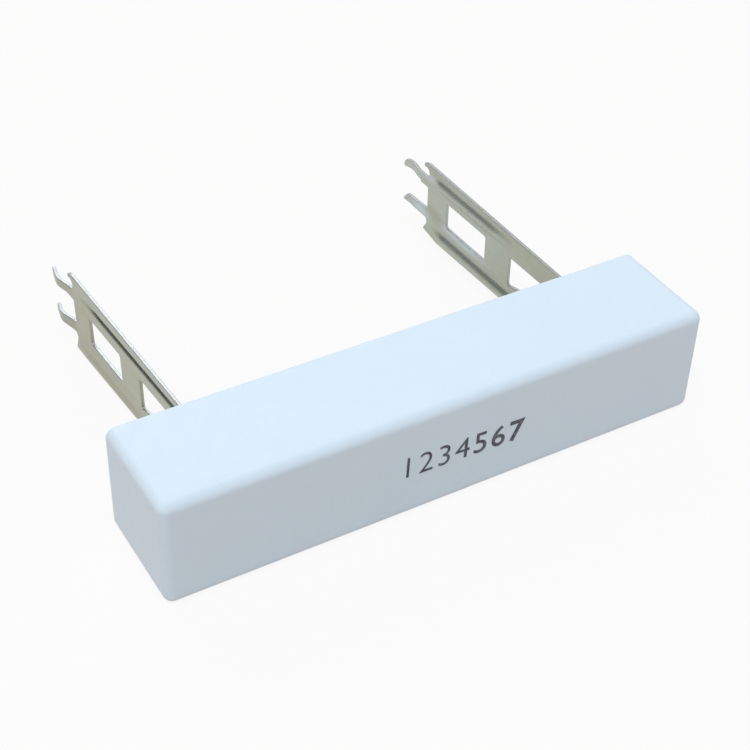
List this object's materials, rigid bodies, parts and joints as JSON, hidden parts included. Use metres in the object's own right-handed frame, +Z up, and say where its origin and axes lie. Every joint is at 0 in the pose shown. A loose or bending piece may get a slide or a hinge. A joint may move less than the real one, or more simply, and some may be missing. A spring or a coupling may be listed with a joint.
{
  "type": "cement resistor",
  "caption": "Long rectangular ceramic power resistor filled with cement, lying on its side, with pierced and ribbed steel brackets that end in kinked solder prongs.",
  "frame": {"origin": "centre of the case's lower long side face, on which the part lies", "axes": "+X along the case towards the right bracket; +Y out of the cement-filled side, along the brackets; +Z up, away from the face that it lies on"},
  "size_m": [0.063, 0.0464, 0.0129],
  "materials": {
    "case_ceramic": "smooth fired, faint sheen",
    "cement": "matt, fine grain",
    "core_ceramic": "matt fired",
    "resistance_alloy": "drawn wire",
    "cap_steel": "drawn, satin",
    "tinned_steel": "tin plated, satin"
  },
  "bodies": {
    "root": {"ceramic_case": "case_ceramic", "cement_fill": "cement", "ceramic_core": "core_ceramic", "resistance_wire": "resistance_alloy", "end_cap_left": "cap_steel", "end_cap_right": "cap_steel", "bracket_left": "tinned_steel", "bracket_right": "tinned_steel"}
  },
  "joints": []
}
